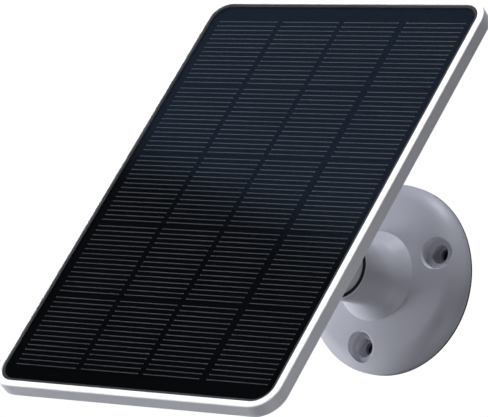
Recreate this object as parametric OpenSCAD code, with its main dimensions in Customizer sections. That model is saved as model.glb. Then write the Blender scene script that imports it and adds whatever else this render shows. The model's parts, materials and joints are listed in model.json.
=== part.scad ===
// Solar charging panel for a security camera, on a round wall bracket with a ball joint.
// Origin: the centre of the wall pad's back face. The wall is the plane Y = 0, the product
// faces -Y, and +Z is up. Each sub-part is drawn in one of three local frames:
//   at_wall()   z is the height above the wall, y is up
//   at_ball()   z runs out along the stud from the ball's centre
//   at_panel()  z runs to the front from the back edge of the panel frame, x and y from its centre

/* [Panel frame] */
// Width of the panel frame
panel_w = 120; // [100:1:150]
// Height of the panel frame
panel_h = 177.5; // [150:0.5:215]
// Outside corner radius of the frame
panel_r = 9.3; // [8.6:0.1:12]
// Depth of the frame's side
frame_d = 5.5; // [5.2:0.1:8]
// Width of the rim round the laminate
rim_w = 2.35; // [2:0.05:3]
// Height of the rim above the laminate
rim_proud = 0.4; // [0.2:0.1:0.8]
// Rounding of the frame's outer edges
rim_round = 0.6; // [0.3:0.1:0.8]
// Width of the ledge under the laminate
ledge_w = 3; // [2.5:0.1:3.5]
// Thickness of the ledge
ledge_t = 1.2; // [0.8:0.1:1.3]

/* [Solar laminate] */
// Width of the black seal round the laminate
seal_w = 1.1; // [0.8:0.1:2]
// Thickness of the clear cover sheet
cover_t = 0.75; // [0.5:0.05:0.8]
// Thickness of the board behind the cells
backing_t = 0.8; // [0.6:0.1:1]
// Thickness of the solar cells
cell_t = 0.2; // [0.15:0.05:0.3]
// Thickness of the tinned ribbons under the cells
ribbon_t = 0.1; // [0.05:0.05:0.15]
// Width of a ribbon
ribbon_w = 1.8; // [1:0.1:2.5]
// Cells side by side
cell_cols = 2; // [1:1:4]
// Cells one above the other
cell_rows = 5; // [2:1:8]
// Dark gap between two rows of cells
cell_gap = 1.4; // [0.6:0.1:3]
// Gap between two columns of cells
string_gap = 0.4; // [0.2:0.1:2]
// Margin from the laminate's edge to the cells at both sides
cell_margin_x = 3.9; // [2:0.1:8]
// Margin above and below the cells
cell_margin_y = 7; // [4:0.1:12]

/* [Rear cover] */
// Wall thickness of the rear cover
cover_wall = 1.8; // [1.4:0.1:2.2]
// Thickness of the cover's rim inside the frame
flange_t = 1.6; // [1.2:0.1:1.8]
// Distance from the frame's side to the raised tray
tray_inset = 11; // [10.6:0.1:14]
// Depth of the raised tray
tray_d = 5; // [3:0.1:6]
// Width of the electronics housing
box_w = 64; // [54:1:76]
// Height of the electronics housing
box_h = 56; // [48:1:66]
// Depth of the electronics housing
box_d = 9; // [8.6:0.1:11]
// Rounding of the rear edges
rear_round = 2; // [1:0.1:2.5]
// Radius of the round boss that carries the stud
boss_r = 12; // [9.6:0.1:14]
// Height of the boss above the centre of the panel
boss_up = 19.4; // [10:0.1:30]

/* [Stance] */
// Upward pitch of the panel from facing straight out
panel_pitch = 31.3; // [0:0.1:44]
// Distance from the ball's centre to the front of the laminate
reach = 63; // [60:0.1:80]

/* [Wall base] */
// Diameter of the wall base
base_d = 68.4; // [66:0.2:90]
// Thickness of the foam pad behind the base
pad_t = 0.8; // [0.5:0.1:1]
// Height of the dome's crown above the wall
crown_h = 11.8; // [11.4:0.1:12.4]
// Radius of the shallow dome
dome_r = 115; // [96:1:140]
// Radius of the curve from the dome down to the rim
edge_r = 10; // [8:0.2:12]
// Height of the rim's upright edge above the wall
rim_h = 3; // [2:0.1:4]
// Wall thickness of the dome
base_wall = 2.4; // [1.8:0.1:3]
// Diameter of the circle of wall screw holes
screw_pcd = 51.2; // [49:0.2:56]
// Diameter of a wall screw hole
screw_hole_d = 4.6; // [3.6:0.1:5.4]
// Height of the web that a wall screw passes through
screw_web_h = 2.6; // [2:0.1:4]
// Diameter of the bore between that web and the ledge for the screw's head
step_bore_d = 6.8; // [5.6:0.1:8]
// Diameter of the recess for a screw's head
head_hole_d = 10.8; // [9:0.1:12]
// Width of the slanted edge round that recess
recess_edge = 0.6; // [0.3:0.1:0.8]
// Height of the floor in that recess
head_floor_h = 6.4; // [4.8:0.1:7.2]
// Turn of the three screw holes
base_turn = -7.9; // [-60:0.1:60]

/* [Ball joint] */
// Diameter of the ball
ball_d = 20.8; // [17.4:0.1:25]
// Height of the ball's centre above the wall
ball_h = 28.4; // [28:0.1:32]
// Gap between the ball and its seat
ball_gap = 0.15; // [0.1:0.05:0.25]
// Height of the collar's lip above the ball's centre
lip_up = 3.6; // [3.2:0.1:4.2]
// Wall thickness of the collar beside the ball
collar_wall = 0.8; // [0.7:0.1:2]
// Outward flare of the lip
lip_flare = 0.2; // [0:0.05:0.5]
// Radial width of the collar's skirt beyond its waist
skirt_w = 4.7; // [4:0.1:6]
// Height of the skirt's slanted band
skirt_h = 3.4; // [2.6:0.1:4]
// Diameter of the neck behind the ball
neck_d = 8.4; // [7.4:0.1:9]

/* [Stud and lock nut] */
// Thread diameter of the stud
stud_d = 6.35; // [5:0.05:6.35]
// Diameter of the stud's root inside the neck
stud_root_d = 4.4; // [3.6:0.1:4.6]
// Distance from the ball's centre to the stem's platform
platform_z = 27.5; // [26:0.1:30]
// Thickness of the platform
platform_t = 3.2; // [2.4:0.1:4]
// Radius of the platform
platform_r = 9.5; // [8:0.1:12]
// Radius of the lock nut
nut_r = 11.5; // [10:0.1:14]
// Thickness of the lock nut
nut_t = 6.6; // [5:0.1:7]
// Finger grooves round the nut
nut_grooves = 20; // [10:1:28]
// Radius of the rubber washer
washer_r = 9; // [8:0.1:11]
// Thickness of the rubber washer
washer_t = 1.7; // [1:0.1:2]

/* [Electronics] */
// Width of the charge regulator board
board_w = 44; // [36:1:46]
// Height of the charge regulator board
board_h = 34; // [28:1:38]
// Thickness of the boards
board_t = 1.2; // [0.8:0.1:1.6]
// Height of the posts under the board
post_h = 2.5; // [1.8:0.1:3]

/* [Hidden] */
$fn = 64;

slip = 0.05;          // gap between pieces that are assembled and stay put
run_fit = 0.06;       // radial gap of a thread or pin that turns
free_gap = 0.3;       // gap between pieces that move past each other
over = 1;             // how far a cut runs past the surface it opens
white = "#f4f4f6";
shell_grey = "#c9c9d2";
near_black = "#15171b";
steel = "#b8bcc2";

// wall base
base_r = base_d / 2;
dome_z = crown_h - dome_r;
// The edge curve's centre: edge_r from the rim's top corner and dome_r - edge_r from the dome's centre
rim_far = norm([base_r, rim_h - dome_z]);
rim_dir = [base_r, rim_h - dome_z] / rim_far;
curve_far = dome_r - edge_r;
curve_along = (curve_far * curve_far - edge_r * edge_r + rim_far * rim_far) / (2 * rim_far);
curve_aside = sqrt(curve_far * curve_far - curve_along * curve_along);
edge_cx = rim_dir.x * curve_along - rim_dir.y * curve_aside;
edge_cz = rim_dir.y * curve_along + rim_dir.x * curve_aside + dome_z;
screw_boss_w = 1.8;
pad_inset = 0.05;
// The recess's slanted edge stands square to the dome at the recess's centre
recess_far = screw_pcd / 2;
recess_lean = asin(recess_far / dome_r);
recess_top = sqrt(pow(dome_r, 2) - pow(recess_far, 2)) + dome_z;
recess_start = 1.5 * recess_edge;
screw_turns = [for (k = [0:2]) base_turn + 30 + 120 * k];

// ball joint, all measured from the wall
ball_r = ball_d / 2;
socket_r = ball_r + ball_gap;
bore_r = socket_r + 0.05;
waist_r = bore_r + collar_wall;
lip_h = ball_h + lip_up;
lip_r = waist_r + lip_flare;
skirt_r = waist_r + skirt_w;
skirt_foot = sqrt(pow(dome_r, 2) - pow(skirt_r, 2)) + dome_z;
shoulder_h = skirt_foot + skirt_h;
shoulder_r = skirt_r - 2.2;
waist_h = shoulder_h + 6;
flare_r = (pow(shoulder_r - waist_r, 2) + pow(waist_h - shoulder_h, 2)) / (2 * (shoulder_r - waist_r));
barrel_r = bore_r + 2.6;
barrel_foot = 4;
ring_h = 1.6;
ring_w = lip_r - 0.45 - bore_r;
hub_hole_r = barrel_r + 0.15;
hub_wall = 2.4;
plate_top = barrel_foot - 0.2;
plate_t = 1.6;
plate_r = hub_hole_r + hub_wall - 0.5;
plate_screw_r = (bore_r + barrel_r) / 2;
m2_r = 1;
seat_r = bore_r - free_gap;
seat_foot = ball_h - socket_r - 2.35;
seat_top = ball_h - 3.9;
spring_r = 7.4;
wire_r = 0.65;
spring_turns = 4;
wire_sides = 10;
spring_steps = 96;

// stem, stud and nut, all measured from the ball's centre
neck_r = neck_d / 2;
neck_end = platform_z - 4;
stud_r = stud_d / 2;
stud_root_r = stud_root_d / 2;
stud_root_z = 13;
stud_step_z = platform_z - 2;
platform_top = platform_z + platform_t;
nut_z = platform_top + free_gap;
groove_r = 1.1;
washer_z = nut_z + nut_t + 0.2;
boss_z = washer_z + washer_t + slip;

// panel, measured forward from the frame's back edge
back_z = reach - (frame_d - rim_proud);
glass_z = frame_d - rim_proud;
opening_w = panel_w - 2 * rim_w;
opening_h = panel_h - 2 * rim_w;
opening_r = panel_r - rim_w;
stack_t = glass_z - cover_t - cell_t - ribbon_t - slip;
ledge_top = stack_t - backing_t;
ledge_z = ledge_top - ledge_t;
laminate_w = opening_w - 2 * seal_w - 2 * slip;
laminate_h = opening_h - 2 * seal_w - 2 * slip;
laminate_r = opening_r - seal_w;
flange_w = opening_w - 2 * slip;
flange_h = opening_h - 2 * slip;
cell_w = (opening_w - 2 * cell_margin_x - (cell_cols - 1) * string_gap) / cell_cols;
cell_h = (opening_h - 2 * cell_margin_y - (cell_rows - 1) * cell_gap) / cell_rows;
tray_w = panel_w - 2 * tray_inset;
tray_h = panel_h - 2 * tray_inset;
tray_r = 8;
box_r = 7;
housing_d = tray_d + box_d;
boss_len = back_z - boss_z - housing_d;
insert_r = 4.6;
insert_len = boss_len + 0.8;
frame_screw_in = rim_w + 4.6;
frame_boss_r = 2.8;
box_foot = -housing_d + cover_wall;
board_z = box_foot + post_h;
board_top = board_z + board_t;
board_screw_x = board_w / 2 - 4;
lead_x = 4;
lead_y = board_h / 2 - 4;
lead_r = 0.8;
grommet_r = 2.7;
grommet_lip = 0.5;
grommet_bore_r = 1.8;
grommet_z = box_foot + grommet_r + grommet_lip + 2 * slip;
vent_y = -panel_h / 3;
vent_r = 3;

module at_wall() { rotate([90, 0, 0]) children(); }
module at_ball() { translate([0, -ball_h, 0]) rotate([90 - panel_pitch, 0, 0]) children(); }
module at_panel() { at_ball() translate([0, -boss_up, back_z]) children(); }

// Places children at the three wall screws or, inside the hub, at three screws on radius r
module at_turns(r) { for (a = screw_turns) rotate(a) translate([r, 0, 0]) children(); }

// Places children at the six screws that hold the rear cover
module at_cover_screws() {
    for (sx = [-1, 1], sy = [-1, 0, 1])
        translate([sx * (panel_w / 2 - frame_screw_in), sy * (panel_h / 2 - 24), 0]) children();
}

module rounded_rect(w, h, r) {
    square([w - 2 * r, h], center = true);
    square([w, h - 2 * r], center = true);
    for (sx = [-1, 1], sy = [-1, 1]) translate([sx * (w / 2 - r), sy * (h / 2 - r)]) circle(r);
}

module plate(w, h, r, z0, z1) {
    translate([0, 0, z0]) linear_extrude(z1 - z0) rounded_rect(w, h, r);
}

// Sweeps a profile round a rounded rectangle. In the profile, x runs outwards and is r at the edge.
module ring_sweep(w, h, r) {
    for (k = [0:3]) {
        across = k % 2 == 0 ? w : h;
        along = k % 2 == 0 ? h : w;
        rotate(90 * k) translate([across / 2 - r, along / 2 - r, 0]) {
            rotate_extrude(angle = 90) children();
            rotate([90, 0, 0]) linear_extrude(along - 2 * r) children();
        }
    }
}

// A rounded block that rises from z0 down to z1 behind the panel, with its rear edge rounded by e
module rear_block(w, h, r, z0, z1, e) {
    ring_sweep(w, h, r) {
        translate([0, z1]) square([r - e, z0 - z1]);
        translate([0, z1 + e]) square([r, z0 - z1 - e]);
        translate([r - e, z1 + e]) circle(e);
    }
    translate([0, 0, (z0 + z1) / 2]) cube([w - 2 * r, h - 2 * r, z0 - z1], center = true);
}

// A cross recess in a screw's head
module cross_recess(depth) {
    for (a = [0, 90]) rotate(a) cube([2.2, 0.6, 2 * depth], center = true);
}

// A pan-head screw along z with its head below z = 0
module screw(shank_r, length, head_r, head_t) {
    difference() {
        union() {
            cylinder(r = shank_r, h = length);
            translate([0, 0, -head_t]) cylinder(r1 = head_r - 0.4, r2 = head_r, h = 0.4);
            translate([0, 0, 0.4 - head_t]) cylinder(r = head_r, h = head_t - 0.4);
        }
        translate([0, 0, -head_t]) cross_recess(0.6);
    }
}

// ---- wall side ----

// Half section of the domed base from z = foot up, or of its inside where inset is the wall thickness
module dome_section(inset, foot) {
    touch = edge_cx * (dome_r - inset) / curve_far;
    intersection() {
        union() {
            intersection() {
                translate([0, dome_z]) circle(dome_r - inset, $fn = 240);
                translate([0, foot]) square([touch, crown_h]);
            }
            translate([edge_cx, edge_cz]) circle(edge_r - inset, $fn = 120);
        }
        translate([0, foot]) square([base_r - inset, crown_h]);
    }
}

// The foam is whole behind the screw holes: the screws pierce it
module wall_pad() {
    color(near_black) at_wall() cylinder(r = base_r - pad_inset, h = pad_t - slip);
}

module base_hollow() {
    rotate_extrude() {
        difference() {
            dome_section(base_wall, pad_t - over);
            translate([0, pad_t - 2 * over]) square([hub_hole_r + hub_wall, crown_h + over]);
        }
        translate([0, pad_t - over]) square([hub_hole_r + hub_wall + slip, plate_top - pad_t + over]);
        square([hub_hole_r, crown_h + over]);
    }
}

// Cuts the slanted edge of a recess: it starts inside the recess, so that it crosses its wall
module recess_cone() {
    edge_r_at_dome = head_hole_d / 2 + recess_edge;
    translate([0, 0, -recess_start])
        cylinder(r1 = edge_r_at_dome - recess_start, r2 = edge_r_at_dome + recess_edge,
                 h = recess_start + recess_edge);
}

module wall_base() {
    color(shell_grey) at_wall() difference() {
        rotate_extrude() dome_section(0, pad_t);
        difference() {
            base_hollow();
            at_turns(screw_pcd / 2) cylinder(d = head_hole_d + 2 * screw_boss_w, h = crown_h);
        }
        at_turns(screw_pcd / 2) {
            translate([0, 0, pad_t - over]) cylinder(d = screw_hole_d, h = crown_h);
            translate([0, 0, screw_web_h]) cylinder(d = step_bore_d, h = crown_h);
            translate([0, 0, head_floor_h]) cylinder(d = head_hole_d, h = crown_h);
            translate([0, 0, recess_top]) rotate([0, recess_lean, 0]) recess_cone();
        }
    }
}

// Half section of the collar's outside, from the skirt up to the lip
module collar_outline() {
    polygon([[0, barrel_foot + 3], [skirt_r, barrel_foot + 3], [skirt_r, skirt_foot],
             [shoulder_r, shoulder_h], [0, shoulder_h]]);
    difference() {
        translate([0, shoulder_h]) square([shoulder_r, waist_h - shoulder_h]);
        translate([waist_r + flare_r, waist_h]) circle(flare_r, $fn = 120);
    }
    polygon([[0, waist_h], [waist_r, waist_h], [lip_r, lip_h - 0.2], [lip_r - 0.2, lip_h], [0, lip_h]]);
}

module socket_collar() {
    color(shell_grey) at_wall() difference() {
        rotate_extrude() {
            difference() {
                collar_outline();
                translate([0, dome_z]) circle(dome_r + slip, $fn = 180);
                translate([0, barrel_foot - over]) square([bore_r, lip_h]);
                translate([0, lip_h - ring_h - slip]) square([bore_r + ring_w + slip, ring_h + over]);
            }
            translate([bore_r, barrel_foot]) square([barrel_r - bore_r, crown_h - barrel_foot]);
        }
        at_turns(plate_screw_r) translate([0, 0, barrel_foot - over]) cylinder(r = m2_r + slip, h = 7 + over);
    }
}

module grip_ring() {
    color(near_black) at_wall() rotate_extrude() difference() {
        translate([bore_r - 2, lip_h - ring_h]) square([ring_w + 2, ring_h]);
        translate([0, ball_h]) circle(socket_r, $fn = 120);
    }
}

module retainer_plate() {
    color(steel) at_wall() difference() {
        union() {
            translate([0, 0, plate_top - plate_t]) cylinder(r = plate_r, h = plate_t - slip);
            cylinder(r = spring_r - wire_r - 0.5, h = plate_top + 1.2);
        }
        translate([0, 0, -over]) cylinder(r = spring_r - wire_r - 2, h = crown_h);
        cylinder(r = spring_r, h = plate_top - plate_t);
        at_turns(plate_screw_r) translate([0, 0, -over]) cylinder(r = m2_r + slip, h = crown_h);
    }
}

module retainer_screws() {
    color(steel) at_wall() at_turns(plate_screw_r)
        translate([0, 0, plate_top - plate_t - slip]) screw(m2_r, plate_t + 6, 1.9, 1.2);
}

// One ring of points round the wire at step i of the helix
function wire_ring(i) = let (
        share = i / spring_steps,
        turn = 360 * spring_turns * share,
        z0 = plate_top + wire_r + slip,
        z = z0 + share * (seat_foot - wire_r - free_gap - z0)
    ) [for (k = [0:wire_sides - 1])
        let (a = 360 * k / wire_sides, r = spring_r + wire_r * cos(a))
        [r * cos(turn), r * sin(turn), z + wire_r * sin(a)]];

module seat_spring() {
    n = wire_sides;
    points = [for (i = [0:spring_steps]) each wire_ring(i)];
    sides = [for (i = [0:spring_steps - 1], k = [0:n - 1])
        let (a = i * n + k, b = i * n + (k + 1) % n) each [[a, b, a + n], [b, b + n, a + n]]];
    start = [for (k = [n - 1:-1:0]) k];
    end = [for (k = [0:n - 1]) spring_steps * n + k];
    color(steel) at_wall() polyhedron(points, concat(sides, [start, end]));
}

module ball_seat() {
    color("#d8d8d4") at_wall() rotate_extrude() {
        difference() {
            translate([0, seat_foot]) square([seat_r, seat_top - seat_foot]);
            translate([0, ball_h]) circle(socket_r, $fn = 120);
        }
        translate([0, seat_foot - 1.5]) square([spring_r - wire_r - 0.5, 1.5 + slip]);
    }
}

// ---- ball and stud ----

module ball_stem() {
    color(shell_grey) at_ball() difference() {
        union() {
            sphere(ball_r);
            cylinder(r = neck_r, h = neck_end);
            translate([0, 0, neck_end]) cylinder(r1 = neck_r, r2 = platform_r, h = platform_z - neck_end);
            translate([0, 0, platform_z]) cylinder(r = platform_r, h = platform_t);
        }
        translate([0, 0, stud_root_z]) cylinder(r = stud_root_r + slip, h = platform_top);
        translate([0, 0, stud_step_z]) cylinder(r = stud_r + slip, h = platform_top);
    }
}

module stud() {
    color(steel) at_ball() {
        translate([0, 0, stud_root_z + slip])
            cylinder(r = stud_root_r, h = stud_step_z - stud_root_z);
        translate([0, 0, stud_step_z + slip])
            cylinder(r = stud_r, h = boss_z + insert_len - 1.4 - stud_step_z);
    }
}

module lock_nut() {
    color("#8e8e98") at_ball() difference() {
        union() {
            translate([0, 0, nut_z]) cylinder(r1 = nut_r - 0.6, r2 = nut_r, h = 0.6);
            translate([0, 0, nut_z + 0.6]) cylinder(r = nut_r, h = nut_t - 1.2);
            translate([0, 0, nut_z + nut_t - 0.6]) cylinder(r1 = nut_r, r2 = nut_r - 0.6, h = 0.6);
        }
        translate([0, 0, nut_z - over]) cylinder(r = stud_r + run_fit, h = nut_t + 2 * over);
        for (k = [0:nut_grooves - 1]) rotate(360 * k / nut_grooves)
            translate([nut_r + 0.3, 0, nut_z - over]) cylinder(r = groove_r, h = nut_t + 2 * over);
    }
}

// ---- panel ----

module jam_washer() {
    color(near_black) at_ball() difference() {
        translate([0, 0, washer_z]) cylinder(r = washer_r, h = washer_t);
        translate([0, 0, washer_z - over]) cylinder(r = stud_r + free_gap, h = washer_t + 2 * over);
    }
}

module threaded_insert() {
    color("#c9a24a") at_ball() difference() {
        translate([0, 0, boss_z]) cylinder(r = insert_r, h = insert_len);
        translate([0, 0, boss_z - over]) cylinder(r = stud_r + run_fit, h = insert_len + 2 * over);
    }
}

module rear_cover() {
    color(shell_grey) at_panel() difference() {
        union() {
            plate(flange_w, flange_h, opening_r - slip, 0, flange_t);
            rear_block(tray_w, tray_h, tray_r, flange_t / 2, -tray_d, rear_round);
            translate([0, boss_up, 0])
                rear_block(box_w, box_h, box_r, -tray_d + 1, -housing_d, rear_round);
            translate([0, boss_up, -housing_d - boss_len]) cylinder(r = boss_r, h = boss_len + 1);
        }
        difference() {
            union() {
                plate(tray_w - 2 * cover_wall, tray_h - 2 * cover_wall, tray_r - cover_wall,
                      -tray_d + cover_wall, flange_t + over);
                translate([0, boss_up, 0])
                    plate(box_w - 2 * cover_wall, box_h - 2 * cover_wall, box_r - cover_wall,
                          box_foot, flange_t + over);
            }
            for (sx = [-1, 1]) translate([sx * board_screw_x, boss_up, box_foot - over])
                cylinder(r = 2.6, h = post_h + over - slip);
        }
        for (sx = [-1, 1]) translate([sx * board_screw_x, boss_up, box_foot])
            cylinder(r = m2_r + slip, h = post_h + over);
        translate([0, boss_up, -housing_d - boss_len - over])
            cylinder(r = insert_r + slip, h = insert_len + over + slip);
        at_cover_screws() translate([0, 0, -over]) cylinder(r = m2_r + slip, h = flange_t + 2 * over);
        translate([0, boss_up - box_h / 2 - over, grommet_z]) rotate([-90, 0, 0])
            cylinder(r = grommet_r + slip, h = cover_wall + 2 * over);
        translate([0, vent_y, -tray_d - over]) cylinder(r = vent_r - 0.6, h = cover_wall + 2 * over);
    }
}

module cover_gasket() {
    gasket_z = ledge_z - slip;
    color(near_black) at_panel() difference() {
        plate(opening_w - 2 * slip, opening_h - 2 * slip, opening_r - slip, flange_t + slip / 2, gasket_z);
        plate(opening_w - 3, opening_h - 3, opening_r - 1.5, 0, gasket_z + over);
    }
}

module cover_screws() {
    color(steel) at_panel() at_cover_screws() translate([0, 0, -slip])
        screw(m2_r, ledge_top - slip, 1.9, 1.2);
}

// Section of the frame's side, its rim and the ledge
module frame_section() {
    foot_round = 0.4;
    lip_round = 0.3;
    inner = panel_r - rim_w;
    difference() {
        union() {
            translate([inner, 0]) square([rim_w - rim_round, frame_d - lip_round]);
            translate([inner + lip_round, 0]) square([rim_w - lip_round - rim_round, frame_d]);
            translate([inner, foot_round]) square([rim_w, frame_d - foot_round - rim_round]);
            translate([inner + lip_round, frame_d - lip_round]) circle(lip_round);
            translate([panel_r - rim_round, frame_d - rim_round]) circle(rim_round);
        }
        translate([panel_r - foot_round, 0]) square(foot_round);
    }
    translate([panel_r - foot_round, foot_round]) circle(foot_round);
    translate([inner - ledge_w, ledge_z]) square([ledge_w + slip, ledge_t]);
}

module front_frame() {
    color(white) at_panel() difference() {
        union() {
            ring_sweep(panel_w, panel_h, panel_r) frame_section();
            at_cover_screws() translate([0, 0, flange_t + slip])
                cylinder(r = frame_boss_r, h = ledge_top - flange_t - slip);
        }
        at_cover_screws() cylinder(r = m2_r + slip, h = frame_d);
    }
}

module edge_seal() {
    color(near_black) at_panel() difference() {
        plate(opening_w - 2 * slip, opening_h - 2 * slip, opening_r - slip, ledge_top + slip, glass_z - 0.1);
        plate(laminate_w + 2 * slip, laminate_h + 2 * slip, laminate_r, ledge_top - over, glass_z + over);
    }
}

module backing_board() {
    color("#2a2d30") at_panel()
        plate(laminate_w, laminate_h, laminate_r - slip, ledge_top + slip, stack_t);
}

// The middle of each column of cells
cell_xs = [for (c = [0:cell_cols - 1]) (c - (cell_cols - 1) / 2) * (cell_w + string_gap)];

module cell_ribbons() {
    ribbon_len = opening_h - 2 * cell_margin_y;
    color(steel) at_panel() for (x = cell_xs, s = [-1, 1])
        translate([x + s * cell_w / 4 - ribbon_w / 2, -ribbon_len / 2, stack_t])
            cube([ribbon_w, ribbon_len, ribbon_t]);
}

module solar_cells() {
    color("#10151f") at_panel() for (x = cell_xs, row = [0:cell_rows - 1])
        translate([x - cell_w / 2, opening_h / 2 - cell_margin_y - (row + 1) * cell_h - row * cell_gap,
                   stack_t + ribbon_t])
            cube([cell_w, cell_h, cell_t]);
}

module cover_sheet() {
    color("#0c0f14", 0.5) at_panel()
        plate(laminate_w, laminate_h, laminate_r - slip, glass_z - cover_t, glass_z);
}

// ---- electronics ----

module at_board() { at_panel() translate([0, boss_up, 0]) children(); }

module regulator_board() {
    color("#1f5d3a") at_board() difference() {
        translate([-board_w / 2, -board_h / 2, board_z]) cube([board_w, board_h, board_t]);
        for (sx = [-1, 1]) translate([sx * board_screw_x, 0, board_z - over])
            cylinder(r = m2_r + slip, h = board_t + 2 * over);
    }
}

module inductor() {
    color("#3b3d42") at_board() translate([0, 0, board_top]) {
        translate([-3.5, -3.5, 0]) cube([7, 7, 1]);
        translate([0, 0, 1]) cylinder(r = 2.6, h = 1.8);
        translate([0, 0, 2.8]) cylinder(r = 3.4, h = 0.8);
    }
}

module capacitors() {
    color("#4b5568") at_board() for (sx = [-1, 1]) translate([sx * 10, 7, board_top]) {
        cylinder(r = 2.5, h = 5);
        translate([-2.7, -2.7, 0]) cube([5.4, 5.4, 0.8]);
    }
}

module rectifier() {
    color(near_black) at_board() translate([8, -7, board_top]) {
        translate([-2.3, -1.3, 0.2]) cube([4.6, 2.6, 2]);
        for (s = [-1, 1]) translate([s * 2.6 - 0.5, -0.7, 0]) cube([1, 1.4, 0.6]);
    }
}

module output_socket() {
    color("#e6e2d6") at_board() translate([-8, -board_h / 2 + 1, board_top]) difference() {
        translate([-4, 0, 0]) cube([8, 5.5, 4.2]);
        translate([-3, -over, 1]) cube([6, 4.5 + over, 2.4]);
    }
}

module board_screws() {
    color(steel) at_board() for (sx = [-1, 1]) translate([sx * board_screw_x, 0, board_top + slip])
        mirror([0, 0, 1]) screw(m2_r, board_t + post_h - 2 * slip, 1.9, 1.2);
}

module cell_leads() {
    color("#a02020") at_board() for (sx = [-1, 1]) translate([sx * lead_x, lead_y, board_top + slip])
        cylinder(r = lead_r, h = ledge_top - board_top - slip);
}

module cable_grommet() {
    color(near_black) at_board() translate([0, -box_h / 2, grommet_z]) rotate([90, 0, 0]) difference() {
        union() {
            translate([0, 0, -cover_wall - 1.2]) cylinder(r = grommet_r + grommet_lip, h = 1.2 - slip);
            translate([0, 0, -cover_wall - 0.5]) cylinder(r = grommet_r, h = cover_wall + 1);
            translate([0, 0, slip]) cylinder(r1 = grommet_r + grommet_lip, r2 = grommet_r - 0.2, h = 3);
        }
        translate([0, 0, -cover_wall - 2]) cylinder(r = grommet_bore_r, h = cover_wall + 6);
    }
}

module vent_plug() {
    color("#50545c") at_panel() translate([0, vent_y, -tray_d]) {
        translate([0, 0, -0.8]) cylinder(r = vent_r, h = 0.8 - slip);
        translate([0, 0, -slip]) cylinder(r = vent_r - 0.6 - slip, h = cover_wall);
    }
}

wall_pad();
wall_base();
socket_collar();
retainer_plate();
retainer_screws();
seat_spring();
grip_ring();
ball_seat();
ball_stem();
stud();
lock_nut();
jam_washer();
threaded_insert();
rear_cover();
cover_gasket();
cover_screws();
front_frame();
edge_seal();
backing_board();
cell_ribbons();
solar_cells();
cover_sheet();
regulator_board();
inductor();
capacitors();
rectifier();
output_socket();
board_screws();
cell_leads();
cable_grommet();
vent_plug();
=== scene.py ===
import json
import math
import bpy
import bmesh
from mathutils import Matrix, Vector


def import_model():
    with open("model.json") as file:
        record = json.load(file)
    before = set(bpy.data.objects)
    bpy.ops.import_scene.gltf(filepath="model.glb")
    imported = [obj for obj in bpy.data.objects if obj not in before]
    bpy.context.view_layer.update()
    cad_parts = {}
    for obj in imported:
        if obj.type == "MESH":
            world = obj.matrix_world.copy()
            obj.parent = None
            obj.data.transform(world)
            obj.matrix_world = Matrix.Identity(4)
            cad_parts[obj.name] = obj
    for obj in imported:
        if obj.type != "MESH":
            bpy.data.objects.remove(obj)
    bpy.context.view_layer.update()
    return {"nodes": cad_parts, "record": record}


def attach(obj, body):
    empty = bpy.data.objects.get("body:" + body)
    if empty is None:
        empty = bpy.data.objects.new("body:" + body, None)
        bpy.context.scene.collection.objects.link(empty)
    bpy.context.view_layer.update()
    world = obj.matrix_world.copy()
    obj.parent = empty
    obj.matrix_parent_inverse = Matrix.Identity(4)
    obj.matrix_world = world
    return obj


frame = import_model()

scene = bpy.context.scene
scene.view_settings.view_transform = "Standard"
MM = 0.001

# ---- the panel's own frame: x across, y up its face, z out of its front, all in mm ----
BALL_H, REACH, BOSS_UP, PITCH = 28.4, 63.0, 19.4, math.radians(31.3)
GLASS_Z, COVER_T, SLIP = 5.1, 0.75, 0.05
OPEN_W, OPEN_H = 115.3, 172.8
LEAN = math.pi / 2 - PITCH
PANEL = (Matrix.Translation((0, -BALL_H * MM, 0)) @ Matrix.Rotation(LEAN, 4, "X")
         @ Matrix.Translation((0, -BOSS_UP * MM, (REACH - GLASS_Z) * MM)) @ Matrix.Scale(MM, 4))


# ---- camera ----
AZIMUTH, ELEVATION, ROLL = 38.566, -6.302, 7.751
CAMERA_RIGHT, CAMERA_UP, CAMERA_BACK = -52.767, 25.661, 1315.144
FOCAL, IMAGE_W, SENSOR = 3697.036, 488, 36


def camera():
    """The view from the front right and slightly below, placed in mm along its own axes."""
    az, el, roll = (math.radians(v) for v in (AZIMUTH, ELEVATION, ROLL))
    back = Vector((math.sin(az) * math.cos(el), -math.cos(az) * math.cos(el), math.sin(el)))
    right = Vector((math.cos(az), math.sin(az), 0))
    up = back.cross(right)
    c, s = math.cos(roll), math.sin(roll)
    right, up = c * right + s * up, -s * right + c * up
    place = (CAMERA_RIGHT * right + CAMERA_UP * up + CAMERA_BACK * back) * MM
    data = bpy.data.cameras.new("camera")
    data.sensor_width = SENSOR
    data.lens = FOCAL / IMAGE_W * SENSOR
    data.clip_start, data.clip_end = 0.05, 60
    cam = bpy.data.objects.new("camera", data)
    scene.collection.objects.link(cam)
    turn = Matrix((right, up, back)).transposed().to_4x4()
    cam.matrix_world = Matrix.Translation(place) @ turn
    scene.camera = cam


camera()


# ---- light ----
AIM = Vector((0, -0.05, 0.01))
TINT = (0.90, 0.92, 1.0)


def softbox(name, direction, far, size, power, colour, spread=180, tall=(0, 0, 1)):
    """A rectangular light at that direction and distance from AIM, facing it, its height along tall."""
    data = bpy.data.lights.new(name, "AREA")
    data.shape = "RECTANGLE"
    data.size, data.size_y = size
    data.energy, data.color = power, colour
    data.spread = math.radians(spread)
    lamp = bpy.data.objects.new(name, data)
    scene.collection.objects.link(lamp)
    d = Vector(direction).normalized()
    up = (Vector(tall) - d * d.dot(Vector(tall))).normalized()
    turn = Matrix((up.cross(d), up, d)).transposed().to_4x4()
    lamp.matrix_world = Matrix.Translation(AIM + d * far) @ turn
    lamp.visible_camera = False
    return lamp


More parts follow.
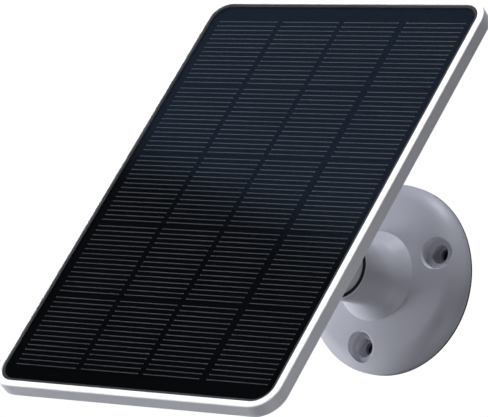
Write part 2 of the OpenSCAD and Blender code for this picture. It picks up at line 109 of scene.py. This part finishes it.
def floor_lamp(floor_object):
    """An even, soft light from above that falls on the floor only."""
    data = bpy.data.lights.new("floor_lamp", "SUN")
    data.energy, data.angle = 2.6, math.radians(60)
    lamp = bpy.data.objects.new("floor_lamp", data)
    scene.collection.objects.link(lamp)
    lit = bpy.data.collections.new("floor_only")
    lit.objects.link(floor_object)
    lamp.light_linking.receiver_collection = lit


softbox("key", (0.02, -0.854, 0.52), 1.3, (0.5, 0.5), 1.12, (1, 1, 1), 30)
softbox("top", (0.1, -0.1, 1.0), 1.2, (0.4, 0.4), 0.56, TINT, 45)
low_left = softbox("low_left", (-0.92, -0.19, -0.33), 0.6, (0.3, 0.26), 0.56, TINT, 60)
low_left.visible_glossy = False    # no glare on the cover when the panel is tilted up
softbox("low_right", (0.7, -0.25, -0.67), 0.36, (0.2, 0.2), 0.15, TINT, 150)
# a blue card that the upper half of the cover reflects
softbox("reflection", (-0.54, -0.10, 0.84), 1.21, (0.7, 0.56), 0.8, (0.36, 0.58, 1),
        tall=(0, 0.65, 0.76))
softbox("back", (0.0, 1.0, -0.06), 1.5, (0.9, 0.9), 9.0, TINT)


def world():
    """White behind the object, and a faint even light on it."""
    w = bpy.data.worlds.new("studio")
    scene.world = w
    w.use_nodes = True
    nt = w.node_tree
    nt.nodes.clear()
    out = nt.nodes.new("ShaderNodeOutputWorld")
    mix = nt.nodes.new("ShaderNodeMixShader")
    path = nt.nodes.new("ShaderNodeLightPath")
    dim, white = nt.nodes.new("ShaderNodeBackground"), nt.nodes.new("ShaderNodeBackground")
    dim.inputs["Color"].default_value = (0.88, 0.9, 1, 1)
    dim.inputs["Strength"].default_value = 0.03
    white.inputs["Color"].default_value = (1, 1, 1, 1)
    white.inputs["Strength"].default_value = 1.02
    nt.links.new(path.outputs["Is Camera Ray"], mix.inputs["Fac"])
    nt.links.new(dim.outputs[0], mix.inputs[1])
    nt.links.new(white.outputs[0], mix.inputs[2])
    nt.links.new(mix.outputs[0], out.inputs["Surface"])


world()


# ---- materials ----
def material(name, dark, light, rough=(0.35, 0.45), metal=0.0, grain=900.0, patch=60.0, bump=0.1,
             depth=0.00003, ior=1.46, coat=0.0, weave=0.0):
    """A moulded, painted or metal surface: colour between dark and light in soft patches and a fine
    grain, roughness that follows the patches, and a bump from the grain."""
    m = bpy.data.materials.new(name)
    m.use_nodes = True
    nt = m.node_tree
    bsdf = nt.nodes["Principled BSDF"]
    new, link = nt.nodes.new, nt.links.new
    place = new("ShaderNodeTexCoord")
    soft, fine = new("ShaderNodeTexNoise"), new("ShaderNodeTexNoise")
    soft.inputs["Scale"].default_value, soft.inputs["Detail"].default_value = patch, 3
    fine.inputs["Scale"].default_value, fine.inputs["Detail"].default_value = grain, 4
    for n in (soft, fine):
        link(place.outputs["Object"], n.inputs["Vector"])
    blend = new("ShaderNodeMath")
    blend.operation = "MULTIPLY_ADD"
    blend.inputs[1].default_value = 0.3
    link(fine.outputs["Fac"], blend.inputs[0])
    link(soft.outputs["Fac"], blend.inputs[2])
    ramp = new("ShaderNodeValToRGB")
    ramp.color_ramp.elements[0].position, ramp.color_ramp.elements[1].position = 0.4, 0.9
    ramp.color_ramp.elements[0].color = (*dark, 1)
    ramp.color_ramp.elements[1].color = (*light, 1)
    link(blend.outputs[0], ramp.inputs["Fac"])
    link(ramp.outputs["Color"], bsdf.inputs["Base Color"])
    span = new("ShaderNodeMapRange")
    span.inputs["From Min"].default_value, span.inputs["From Max"].default_value = 0.3, 0.7
    span.inputs["To Min"].default_value, span.inputs["To Max"].default_value = rough
    link(soft.outputs["Fac"], span.inputs["Value"])
    link(span.outputs["Result"], bsdf.inputs["Roughness"])
    relief = new("ShaderNodeBump")
    relief.inputs["Strength"].default_value = bump
    relief.inputs["Distance"].default_value = depth
    height = fine.outputs["Fac"]
    if weave:
        wave = new("ShaderNodeTexWave")
        wave.inputs["Scale"].default_value = weave
        link(place.outputs["Object"], wave.inputs["Vector"])
        height = wave.outputs["Fac"]
    link(height, relief.inputs["Height"])
    link(relief.outputs["Normal"], bsdf.inputs["Normal"])
    bsdf.inputs["Metallic"].default_value = metal
    bsdf.inputs["IOR"].default_value = ior
    bsdf.inputs["Coat Weight"].default_value = coat
    return m


def clear_cover():
    """The laminate's clear sheet: a smooth gloss over what lies under it, with faint haze."""
    m = material("clear_cover", (0.0006, 0.0008, 0.0012), (0.001, 0.0014, 0.002), rough=(0.09, 0.11),
                 grain=300, patch=25, bump=0.01, depth=0.000005, ior=1.5)
    nt = m.node_tree
    out, bsdf = nt.nodes["Material Output"], nt.nodes["Principled BSDF"]
    clear, mix = nt.nodes.new("ShaderNodeBsdfTransparent"), nt.nodes.new("ShaderNodeMixShader")
    mix.inputs["Fac"].default_value = 0.4
    nt.links.new(clear.outputs[0], mix.inputs[1])
    nt.links.new(bsdf.outputs[0], mix.inputs[2])
    nt.links.new(mix.outputs[0], out.inputs["Surface"])
    return m


# what lies in the laminate's resin hardly reflects at its surface
IN_RESIN = 1.15
look = {
    "frame_white": material("frame_white", (0.83, 0.83, 0.86), (0.88, 0.88, 0.9),
                            rough=(0.32, 0.42), bump=0.12),
    # off-white plastic like the frame; part of its grey and its lavender tint is painted shade, as the
    # base sits in the panel's shadow
    "shell_grey": material("shell_grey", (0.68, 0.68, 0.72), (0.74, 0.74, 0.78),
                           rough=(0.38, 0.48), grain=1300, bump=0.2),
    "black_rubber": material("black_rubber", (0.008, 0.008, 0.009), (0.02, 0.02, 0.022),
                             rough=(0.55, 0.75), bump=0.35),
    "seat_nylon": material("seat_nylon", (0.6, 0.6, 0.56), (0.68, 0.68, 0.64), rough=(0.3, 0.45)),
    "nut_plastic": material("nut_plastic", (0.48, 0.48, 0.52), (0.56, 0.56, 0.61),
                            rough=(0.4, 0.6), bump=0.35),
    "zinc_steel": material("zinc_steel", (0.46, 0.47, 0.5), (0.64, 0.65, 0.67),
                           rough=(0.22, 0.42), metal=1, grain=2200),
    "brass_insert": material("brass_insert", (0.52, 0.36, 0.13), (0.72, 0.54, 0.24),
                             rough=(0.25, 0.42), metal=1),
    "backing": material("backing", (0.0012, 0.0015, 0.002), (0.0022, 0.0026, 0.0034),
                        rough=(0.5, 0.65), weave=500, bump=0.03, ior=IN_RESIN),
    "silicon": material("silicon", (0.0012, 0.0018, 0.0035), (0.0022, 0.0034, 0.0065),
                        rough=(0.4, 0.5), grain=600, patch=28, bump=0.03, ior=IN_RESIN),
    "clear_cover": clear_cover(),
    "circuit_board": material("circuit_board", (0.008, 0.07, 0.03), (0.02, 0.12, 0.055),
                              rough=(0.25, 0.4), coat=0.3),
    "component_dark": material("component_dark", (0.012, 0.012, 0.014), (0.03, 0.03, 0.034),
                               rough=(0.45, 0.6)),
    "component_light": material("component_light", (0.62, 0.58, 0.48), (0.7, 0.66, 0.56),
                                rough=(0.4, 0.55)),
    "lead_red": material("lead_red", (0.3, 0.012, 0.01), (0.42, 0.022, 0.018), rough=(0.35, 0.5)),
}
finger_metal = material("finger_metal", (0.34, 0.35, 0.37), (0.46, 0.47, 0.49),
                        rough=(0.4, 0.55), grain=3000, bump=0.05)
slots = {s["node"]: s["material_slot"] for s in frame["record"]["subparts"]}
for node, obj in frame["nodes"].items():
    obj.data.materials.clear()
    obj.data.materials.append(look[slots[node]])



# ---- finger lines on the cells ----
def finger_lines():
    """Rows of fine silver lines across each column of cells, with a blob at each end of a line."""
    columns = [(4.6, 30.3), (33.2, 57.2), (60.0, 82.9), (86.5, 110.9)]
    rows, per_row, first, pitch, row_pitch = 5, 15, 7.75, 2.08, 32.04
    line_half, line_top = 0.14, 0.02
    end_half, end_top, end_reach = 0.22, 0.03, 0.2
    low = GLASS_Z - COVER_T - SLIP
    bm = bmesh.new()

    def bar(x0, x1, y, half, top):
        """A flat-topped bar with slanted sides, as printed silver paste is."""
        ends = []
        for x in (x0, x1):
            ends.append([bm.verts.new((x, y + dy, z)) for dy, z in
                         ((-half, low), (half, low), (half * 0.6, low + top), (-half * 0.6, low + top))])
        a, b = ends
        for i in range(4):
            j = (i + 1) % 4
            bm.faces.new((a[i], b[i], b[j], a[j]))
        bm.faces.new(a)
        bm.faces.new(b[::-1])

    for r in range(rows):
        for k in range(per_row):
            y = OPEN_H / 2 - first - r * row_pitch - k * pitch
            for x0, x1 in columns:
                left, right = x0 - OPEN_W / 2, x1 - OPEN_W / 2
                bar(left, right, y, line_half, line_top)
                for x in (left, right):
                    bar(x - end_reach, x + end_reach, y, end_half, end_top)
    bmesh.ops.recalc_face_normals(bm, faces=bm.faces)
    bm.transform(PANEL)
    me = bpy.data.meshes.new("finger_lines")
    bm.to_mesh(me)
    bm.free()
    o = bpy.data.objects.new("finger_lines", me)
    scene.collection.objects.link(o)
    me.materials.append(finger_metal)
    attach(o, "panel")


finger_lines()


# ---- floor ----
FLOOR_Z, FLOOR_REACH = -0.32, 6


def floor():
    """A plain paper floor that throws no light back on the object."""
    bm = bmesh.new()
    bmesh.ops.create_grid(bm, x_segments=8, y_segments=8, size=FLOOR_REACH)
    me = bpy.data.meshes.new("floor")
    bm.to_mesh(me)
    bm.free()
    o = bpy.data.objects.new("floor", me)
    o.location = (0, 0, FLOOR_Z)
    scene.collection.objects.link(o)
    me.materials.append(material("floor_paper", (0.78, 0.78, 0.79), (0.82, 0.82, 0.83),
                                 rough=(0.8, 0.9), patch=2, bump=0.02))
    o.visible_diffuse = o.visible_glossy = False
    floor_lamp(o)


floor()
